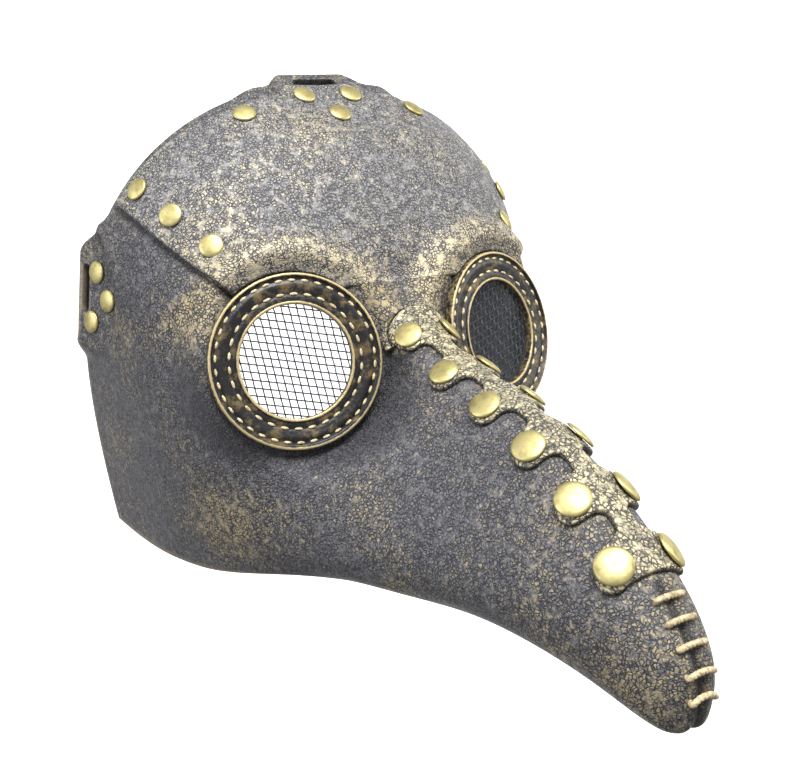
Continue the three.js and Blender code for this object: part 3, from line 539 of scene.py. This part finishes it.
def on_ridge(distance, reach):
    """u and v of places at a distance down the ridge and a reach to the side of it, positive to
    the wearer's right, by measuring each row's arc from the middle line."""
    rows = np.interp(distance, ridge_gone, ridge_u)
    scan = np.linspace(1, 0.5, 400)
    gone = arc(skin(rows[:, None], scan[None]), 1)
    w = np.stack([np.interp(np.abs(r), g, scan) for r, g in zip(reach, gone)])
    return np.broadcast_to(rows[:, None], w.shape), np.where(reach > 0, 2 - w, w)


def outline_distance(x, y, edge_x, edge_y):
    """Least distance in a plane from grid points to an outline given by its points."""
    return np.sqrt(((x[..., None] - edge_x) ** 2 + (y[..., None] - edge_y) ** 2).min(-1))


strap_end = STRAP_HEAD + 5 * TAB_PITCH + BEAK_CAP_R[5] + TAB_MARGIN - 0.02
s = spread((30, 0, 3), (340, 3, strap_end - 1), (6, strap_end - 1, strap_end))
t = np.sin(np.linspace(-1, 1, 49) * math.pi / 2)
reach = strap_half(s)[:, None] * t
u, v = on_ridge(s, reach)
flat, normals = skin(u, v), skin_normal(u, v)
fine = np.linspace(0, strap_end, 1400)
edge_s = np.concatenate([fine, np.full(60, strap_end)])
edge_y = np.concatenate([strap_half(fine), np.linspace(0, strap_half(fine)[-1], 60)])
near = outline_distance(s[:, None] + 0 * reach, np.abs(reach), edge_s, edge_y)
top = (flat + normals * rounded(near, STRAP_TOP, 1.3)[..., None]).reshape(-1, 3)
under = (flat + normals * 0.1).reshape(-1, 3)
body = closed_sheet(grid_faces(*u.shape), len(top))
# Gold along the edge's crest, 1.2 mm in: worn paint, and a painted highlight there too.
worn = np.exp(-((near.ravel() - 1.2) / 0.8) ** 2)
# The shade mark paints shade on the strap's last 0.7 mm, the edge's wall.
marks = {"rub": np.tile(0.7 + 0.4 * worn, 2),
         "painted_shade": np.tile(smooth(1 - near.ravel() / 0.7) * 0.85, 2)}
strap_leather = leather("strap_leather_heavy_gold_rub", "#3f3c36", "#968f7c",
                        "#dccfa6", 1.6, 0.6, 0.42, 0.34)
make_piece("beak_strap", np.concatenate([top, under]), body[:, ::-1], strap_leather,
           ["ridge_strap"], marks)

# ---- eye rings ---------------------------------------------------------------------------------
# Turned rings covered in black antiqued leather: a gilt bead at the opening and one at the outer
# edge, with a row of waxed tan stitches beside each.
STITCH_ROWS = [(29.3, 38), (24.3, 30)]      # radius in millimetres and stitches in the row
OUTER_BEAD, INNER_BEAD = (31.3, 0.7), (21.3, 0.7)       # radius in the ring and of the bead
RECESS_R, RECESS_LEVEL = 25.8, -3.1         # the step at the back that holds the gauze


def bead(centre, level, radius, start, end, count):
    """Part of a circle in a ring's section, from one angle to another in degrees."""
    a = np.radians(np.linspace(start, end, count))
    return np.stack([centre + radius * np.cos(a), level + radius * np.sin(a)], -1)


def revolve(profile, count):
    """A closed section of (radius, height) carried round the Z axis."""
    a = np.linspace(0, 2 * math.pi, count, endpoint=False)[:, None]
    r, h = profile[:, 0], profile[:, 1] + 0 * a
    return np.stack([r * np.cos(a), r * np.sin(a), h], -1)


band_r = np.linspace(22.4, 30.4, 34)
band_h = -1.05 + 0.35 * np.exp(-((band_r - 27.6) / 1.6) ** 2)
for row_r, _ in STITCH_ROWS:
    band_h = band_h - 0.3 * np.exp(-((band_r - row_r) / 0.7) ** 2)
profile = np.concatenate([
    [[RING_OPENING_R, RECESS_LEVEL]], bead(INNER_BEAD[0], -1.1, INNER_BEAD[1], 180, 0, 11),
    np.stack([band_r, band_h], -1), bead(OUTER_BEAD[0], -0.7, OUTER_BEAD[1], 180, 0, 10),
    [[RING_R, 0.2 - RING_HEIGHT], [RING_R - 0.2, -RING_HEIGHT], [RECESS_R, -RING_HEIGHT],
     [RECESS_R, RECESS_LEVEL]]])
sections, round_count = len(profile), 180
ring = revolve(profile, round_count)
ring_faces = grid_faces(round_count + 1, sections, wrap=True) % (round_count * sections)
radius = np.broadcast_to(profile[:, 0], ring.shape[:2])
gilt = np.maximum(np.exp(-((radius - 31.5) / 0.55) ** 2), np.exp(-((radius - 21.2) / 0.6) ** 2))

a, b = np.meshgrid(np.linspace(0, math.pi, 7), np.linspace(0, 2 * math.pi, 8, endpoint=False),
                   indexing="ij")
grain_of_rice = np.stack([np.cos(a), np.sin(a) * np.cos(b), np.sin(a) * np.sin(b)], -1)
rice_faces = grid_faces(7, 8, wrap=True)


def stitches(rows):
    """Rows of stitches round the Z axis: each a grain-shaped loop lying along the circle, with
    its middle proud of the leather and its ends sunk into it."""
    out = []
    for radius, count in rows:
        w = np.linspace(0, 2 * math.pi, count, endpoint=False)
        reach = 0.3 * 2 * math.pi * radius / count
        size = grain_of_rice.reshape(-1, 3) * (reach, 0.55, 0.45)
        way, side = np.stack([-np.sin(w), np.cos(w)], -1), np.stack([np.cos(w), np.sin(w)], -1)
        flat = (side[:, None] * radius + size[None, :, :1] * way[:, None]
                + size[None, :, 1:2] * side[:, None])
        lift = -0.95 + size[None, :, 2] - 0.25 * (size[None, :, 0] / reach) ** 2 + 0 * w[:, None]
        out.append(np.concatenate([flat, lift[..., None]], -1))
    out = np.concatenate(out)
    step = np.arange(len(out))[:, None, None] * out.shape[1]
    return out.reshape(-1, 3), (rice_faces[None] + step).reshape(-1, 4)


def antiqued(name):
    """Black leather with brown rubbed through it in patches, and gilt on the beads: a warm dark
    ground, soft lustre, and metal only where the mark gilt is high."""
    material, tree, shader = start(name)
    place = add(tree, "ShaderNodeTexCoord").outputs["Object"]
    cloud = add(tree, "ShaderNodeTexNoise", {"Vector": place, "Scale": 190.0, "Detail": 5.0,
                                             "Roughness": 0.7}).outputs["Fac"]
    brown = add(tree, "ShaderNodeMapRange", {"Value": cloud, "From Min": 0.5, "From Max": 0.68,
                                             "To Max": 0.75}).outputs["Result"]
    ground = add(tree, "ShaderNodeMix", {0: brown, 6: linear("#171517"), 7: linear("#7a6843")},
                 data_type="RGBA").outputs[2]
    gilt = add(tree, "ShaderNodeAttribute", attribute_name="gilt").outputs["Fac"]
    fine = add(tree, "ShaderNodeTexNoise", {"Vector": place, "Scale": 700.0,
                                            "Detail": 3.0}).outputs["Fac"]
    worn = add(tree, "ShaderNodeMath", {0: fine, 1: 0.9, 2: gilt}, operation="MULTIPLY_ADD")
    worn = add(tree, "ShaderNodeMapRange", {"Value": worn.outputs[0], "From Min": 0.85,
                                            "From Max": 1.2}).outputs["Result"]
    colour = add(tree, "ShaderNodeMix", {0: worn, 6: ground, 7: linear("#bba97c")},
                 data_type="RGBA").outputs[2]
    metal = add(tree, "ShaderNodeMath", {0: worn, 1: 0.4}, operation="MULTIPLY").outputs[0]
    dull = add(tree, "ShaderNodeMapRange", {"Value": cloud, "To Min": 0.3, "To Max": 0.55})
    bump = add(tree, "ShaderNodeBump", {"Height": fine, "Strength": 0.6, "Distance": 0.00025})
    fill(shader, {"Base Color": colour, "Metallic": metal, "Roughness": dull.outputs["Result"],
                  "Normal": bump.outputs[0]})
    return material


def waxed_thread(name, colour, shade, fineness):
    """Waxed linen: tan fibres mixed with darker ones, with a soft sheen."""
    material, tree, shader = start(name)
    place = add(tree, "ShaderNodeTexCoord").outputs["Object"]
    fibre = add(tree, "ShaderNodeTexNoise", {"Vector": place, "Scale": fineness, "Detail": 4.0,
                                             "Roughness": 0.7}).outputs["Fac"]
    mix = add(tree, "ShaderNodeMapRange", {"Value": fibre, "From Min": 0.35, "From Max": 0.62})
    tint = add(tree, "ShaderNodeMix", {0: mix.outputs["Result"], 6: linear(shade),
                                       7: linear(colour)}, data_type="RGBA").outputs[2]
    bump = add(tree, "ShaderNodeBump", {"Height": fibre, "Strength": 0.7, "Distance": 0.0002})
    fill(shader, {"Base Color": tint, "Roughness": 0.55, "Normal": bump.outputs[0]})
    return material


ring_leather = antiqued("black_antiqued_leather_gilt_beads")
stitch_thread = waxed_thread("waxed_tan_linen_stitches", "#d8cba6", "#93835c", 900.0)
stitch_points, stitch_faces = stitches(STITCH_ROWS)
SIDES = (("left", 1), ("right", -1))
for side, sign in SIDES:
    flip = (sign, 1, 1)
    axes = frame_of(EYE_NORMAL * flip, ACROSS * sign)
    make_piece(f"eye_ring_cover_{side}", ring.reshape(-1, 3) @ axes + EYE * flip,
               ring_faces[:, ::-1], ring_leather, [f"eye_ring_{side}"],
               {"gilt": gilt}, 60)
    make_piece(f"ring_stitches_{side}", stitch_points @ axes + EYE * flip, stitch_faces,
               stitch_thread, [])

# ---- gauze in the rings ------------------------------------------------------------------------
# Plain-woven dark steel wire, cut to a disc and clamped in the ring's recess. The weave leans,
# so its openings are slanted.
WIRE_R, WIRE_PITCH, GAUZE_R, GAUZE_LEVEL, WAVE = 0.26, 2.95, 25.2, -3.68, 0.22


def woven(direction, other, phase):
    """One set of wires: straight across the disc at even spacing along the other set, each
    rising over and dipping under the wires it crosses in a sine wave. Round section of six."""
    steps, sides = 73, 6
    normal = np.array([-direction[1], direction[0]])
    spacing = WIRE_PITCH * abs(other @ normal)
    k = np.arange(-int(GAUZE_R / spacing), int(GAUZE_R / spacing) + 1)
    off = k * spacing
    reach = np.sqrt(GAUZE_R ** 2 - off ** 2)
    s = np.linspace(-1, 1, steps)[None] * reach[:, None]
    lean = (other @ direction) / (other @ normal)
    wave = WAVE * np.cos(math.pi * (s - off[:, None] * lean) / WIRE_PITCH + math.pi * k[:, None]
                         + phase)
    a = np.linspace(0, 2 * math.pi, sides, endpoint=False)
    side = WIRE_R * np.cos(a)
    plane = (direction * s[..., None, None] + normal * (off[:, None, None] + side)[..., None])
    height = GAUZE_LEVEL + wave[..., None] + WIRE_R * np.sin(a)
    points = np.concatenate([plane + 0 * height[..., None], height[..., None]], -1)
    first = np.array([[0, 1, 2, 3], [0, 3, 4, 5]])
    last = first[:, ::-1] + (steps - 1) * sides
    faces = np.concatenate([grid_faces(steps, sides, wrap=True), first, last])
    step = np.arange(len(k))[:, None, None] * steps * sides
    return points.reshape(-1, 3), (faces[None] + step).reshape(-1, 4)


wire, tree, shader = start("blackened_steel_wire")      # drawn wire, oxide black, satin
scale_spots = add(tree, "ShaderNodeTexNoise", {
    "Vector": add(tree, "ShaderNodeTexCoord").outputs["Object"], "Scale": 800.0, "Detail": 3.0})
tint = add(tree, "ShaderNodeMix", {0: scale_spots.outputs["Fac"], 6: linear("#24272c"),
                                   7: linear("#5b6067")}, data_type="RGBA").outputs[2]
fill(shader, {"Base Color": tint, "Metallic": 0.7, "Roughness": 0.45})
for side, sign in SIDES:
    flip = (sign, 1, 1)
    level, steep = np.array([0.97, 0.243 * sign]), np.array([0.113 * sign, 0.9936])
    weft, weft_faces = woven(level, steep, 0)
    warp, warp_faces = woven(steep, level, math.pi)
    axes = frame_of(EYE_NORMAL * flip, ACROSS * sign)
    make_piece(f"wire_gauze_{side}", np.concatenate([weft, warp]) @ axes + EYE * flip,
               np.concatenate([weft_faces, warp_faces + len(weft)]), wire,
               [f"eye_mesh_{side}"])

# ---- rivets ------------------------------------------------------------------------------------
# Domed caps pressed from thin brass and lacquered dull, each closed on a shank through the
# leather with a small cap behind. Those of the beak are larger and rounder.
BACK_SEAT, BACK_CAP_R, BACK_THICK, SHANK_R, CAP_EDGE, CAP_DOME = 2.2, 2.4, 0.9, 1.5, 0.4, 0.22
FACE_CAP_R = 4.5


def rivet_profile(cap_r, low, high):
    """Section from the back cap's middle out, up the shank, round the cap's rolled edge and over
    an elliptical dome to the middle."""
    seat, back = high + 0.12, low - BACK_SEAT
    a = np.radians(np.linspace(0, 90, 14))
    roll = np.radians(np.linspace(-80, 0, 5))
    return np.concatenate([
        [[1e-4, back - BACK_THICK], [BACK_CAP_R - 0.3, back - BACK_THICK],
         [BACK_CAP_R, back - BACK_THICK + 0.3], [BACK_CAP_R, back], [SHANK_R, back],
         [SHANK_R, seat + 0.1], [cap_r - 0.6, seat + 0.1]],
        np.stack([cap_r - 0.35 + 0.35 * np.cos(roll), seat + 0.4 + 0.35 * np.sin(roll)], -1),
        np.stack([(cap_r - 0.05) * np.cos(a) + 1e-4,
                  seat + CAP_EDGE + 0.18 + CAP_DOME * cap_r * np.sin(a)], -1)])


def rivets(name, places, directions, sizes, low, high, nodes, material):
    """Rivets of one group as one piece: each profile turned round its own axis."""
    points, count, sides = [], 0, 36
    for place, direction, cap_r in zip(places, directions, sizes):
        turned = revolve(rivet_profile(cap_r, low, high), sides)
        points.append(turned.reshape(-1, 3) @ frame_of(direction, np.array([0.3, 1, 0.2])) + place)
    length = turned.shape[1]
    one = grid_faces(sides + 1, length) % (sides * length)
    step = np.arange(len(points))[:, None, None] * sides * length
    make_piece(name, np.concatenate(points), (one[None] + step).reshape(-1, 4)[:, ::-1], material,
               nodes, crease=40)


# Pressed brass under dull lacquer, clouded with tarnish and finely scuffed.
brass, tree, shader = start("pressed_brass_dull_lacquer")
place = add(tree, "ShaderNodeTexCoord").outputs["Object"]
tarnish = add(tree, "ShaderNodeTexNoise", {"Vector": place, "Scale": 260.0, "Detail": 5.0,
                                           "Roughness": 0.6}).outputs["Fac"]
amount = add(tree, "ShaderNodeMapRange", {"Value": tarnish, "From Min": 0.45, "From Max": 0.75})
tint = add(tree, "ShaderNodeMix", {0: amount.outputs["Result"], 6: linear("#c2b67f"),
                                   7: linear("#8c8252")}, data_type="RGBA").outputs[2]
scuffs = add(tree, "ShaderNodeTexNoise", {"Vector": place, "Scale": 1500.0,
                                          "Detail": 2.0}).outputs["Fac"]
dull = add(tree, "ShaderNodeMapRange", {"Value": tarnish, "To Min": 0.38, "To Max": 0.58})
bump = add(tree, "ShaderNodeBump", {"Height": scuffs, "Strength": 0.25, "Distance": 0.0001})
fill(shader, {"Base Color": tint, "Roughness": dull.outputs["Result"], "Metallic": 0.9,
              "Normal": bump.outputs["Normal"]})

brow_uv = np.array([(0.974, 0.757), (0.932, 0.763), (0.886, 0.767), (0.983, 0.919)])
brow_names = ["rivet_brow_1", "rivet_brow_2", "rivet_brow_3", "rivet_crown"]
u = np.tile(brow_uv[:, 0], 2)
v = np.concatenate([brow_uv[:, 1], 2 - brow_uv[:, 1]])
rivets("brow_rivets", skin(u, v), skin_normal(u, v), [FACE_CAP_R] * 8, -SHELL, PANEL_TOP,
       [f"{n}_{side}" for side, _ in SIDES for n in brow_names], brass)

down = STRAP_HEAD + TAB_PITCH * np.arange(6)
u, v = on_ridge(down, np.stack([-BEAK_RIVET_OUT, BEAK_RIVET_OUT], -1))
u, v = u.T.ravel(), v.T.ravel()
rivets("beak_rivets", skin(u, v), skin_normal(u, v), np.tile(BEAK_CAP_R, 2), -SHELL, STRAP_TOP,
       [f"rivet_beak_{k}_{side}" for side, _ in SIDES for k in range(1, 7)], brass)


def by_slot(place, normal, along, level, offsets):
    """Rivet places round a slot: distances along it and ahead of it, at its land's level."""
    x, front, n = frame_of(normal, along)
    front = -front if front[1] > 0 else front
    return np.stack([place + a * x + b * front + level * n for a, b in offsets])


under_plate = -SHELL - GAP - 1.5
crown = by_slot(TOP_SLOT, TOP_NORMAL, ACROSS, TOP_LEVEL,
                [(10.6, 10.7), (-10.6, 10.7), (0, 22.3)])
rivets("crown_slot_rivets", crown, [TOP_NORMAL] * 3, [FACE_CAP_R] * 3, under_plate, PANEL_TOP,
       [f"rivet_slot_top_{k}" for k in (1, 2, 3)], brass)
for side, sign in SIDES:
    flip = (sign, 1, 1)
    spots = by_slot(SIDE_SLOT, SIDE_NORMAL, UP, SIDE_LEVEL,
                    [(7, 7.4), (-3.4, 15), (-13, 4.8)]) * flip
    rivets(f"side_slot_rivets_{side}", spots, [SIDE_NORMAL * flip] * 3, [FACE_CAP_R] * 3,
           under_plate, 0.0, [f"rivet_slot_{side}_{k}" for k in (1, 2, 3)], brass)

# ---- beak lacing -------------------------------------------------------------------------------
# One waxed cord of three strands drawn through punched holes across the seam at the beak's tip,
# five times, with its passes hidden inside.
LACE_R, LACE_HALF = 1.1, 4.8
LACE_U = np.array([0.153, 0.120, 0.086, 0.052, 0.026])
reach = np.array([-1, -1, -1, -0.5, 0, 0.5, 1, 1, 1]) * LACE_HALF
height = np.array([-SHELL - 1.9, -SHELL / 2, 1.4, 1.4, 1.4, 1.4, 1.4, -SHELL / 2, -SHELL - 1.9])
u, v = on_ridge(np.interp(-LACE_U, -ridge_u, ridge_gone), np.tile(reach, (5, 1)))
knots = (skin(u, v) + skin_normal(u, v) * height[:, None]).reshape(-1, 3)


def through(knots, steps):
    """A smooth path through points: a Catmull-Rom cubic on each span."""
    p = np.concatenate([knots[:1], knots, knots[-1:]])
    t = np.linspace(0, 1, steps, endpoint=False)[None, :, None]
    a, b, c, d = (p[i:len(p) - 3 + i, None] for i in range(4))
    path = 0.5 * (2 * b + (c - a) * t + (2 * a - 5 * b + 4 * c - d) * t ** 2
                  + (3 * b - a - 3 * c + d) * t ** 3)
    return np.concatenate([path.reshape(-1, 3), knots[-1:]])


def cord(path, radius, sides, strands, lay, along):
    """A twisted cord: a round section with a bulge for each strand that turns as it goes. The
    section's first axis stays near the given direction."""
    way = np.gradient(path, axis=0)
    way = way / np.linalg.norm(way, axis=1, keepdims=True)
    x = along - way * (way * along).sum(1, keepdims=True)
    x = x / np.linalg.norm(x, axis=1, keepdims=True)
    y = np.cross(way, x)
    gone = arc(path, 0)[:, None]
    a = np.linspace(0, 2 * math.pi, sides, endpoint=False)
    r = radius * (0.9 + 0.1 * np.cos(strands * (a - 2 * math.pi * gone / lay)))[..., None]
    ring = path[:, None] + r * (np.cos(a)[:, None] * x[:, None] + np.sin(a)[:, None] * y[:, None])
    points = np.concatenate([path[:1], ring.reshape(-1, 3), path[-1:]])
    tube = grid_faces(len(path), sides, wrap=True) + 1
    k = np.arange(sides)
    n = (k + 1) % sides
    last = len(points) - 1
    caps = np.concatenate([np.stack([0 * k, k + 1, n + 1], -1),
                           np.stack([0 * k + last, last - sides + n, last - sides + k], -1)])
    return points, [*tube.tolist(), *caps.tolist()]


path = through(knots, 9)
ridge_way = skin(0.02, 1.0) - skin(0.16, 1.0)
cord_points, cord_faces = cord(path, LACE_R, 15, 3, 4.5, ridge_way / np.linalg.norm(ridge_way))
lace = waxed_thread("waxed_three_strand_cord", "#cdbd95", "#85765a", 700.0)
make_piece("tip_lacing", cord_points, cord_faces, lace, ["beak_lacing"])

# ---- plates behind the slots -------------------------------------------------------------------
# Flat pieces of stiff harness leather riveted behind each strap slot so that it can't tear.
# Smooth, nearly black, with a faint grain; their shape is the CAD's own.
harness, tree, shader = start("black_harness_leather_backing")
place = add(tree, "ShaderNodeTexCoord").outputs["Object"]
grain = add(tree, "ShaderNodeTexVoronoi", {"Vector": place, "Scale": 900.0},
            feature="DISTANCE_TO_EDGE").outputs["Distance"]
cloud = add(tree, "ShaderNodeTexNoise", {"Vector": place, "Scale": 150.0, "Detail": 4.0})
tint = add(tree, "ShaderNodeMix", {0: cloud.outputs["Fac"], 6: linear("#1b1a19"),
                                   7: linear("#37332e")}, data_type="RGBA").outputs[2]
bump = add(tree, "ShaderNodeBump", {"Height": grain, "Strength": 0.4, "Distance": 0.0002})
fill(shader, {"Base Color": tint, "Roughness": 0.6, "Normal": bump.outputs["Normal"]})
for name in ("slot_plate_top", "slot_plate_left", "slot_plate_right"):
    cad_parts[name].data.materials.clear()
    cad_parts[name].data.materials.append(harness)
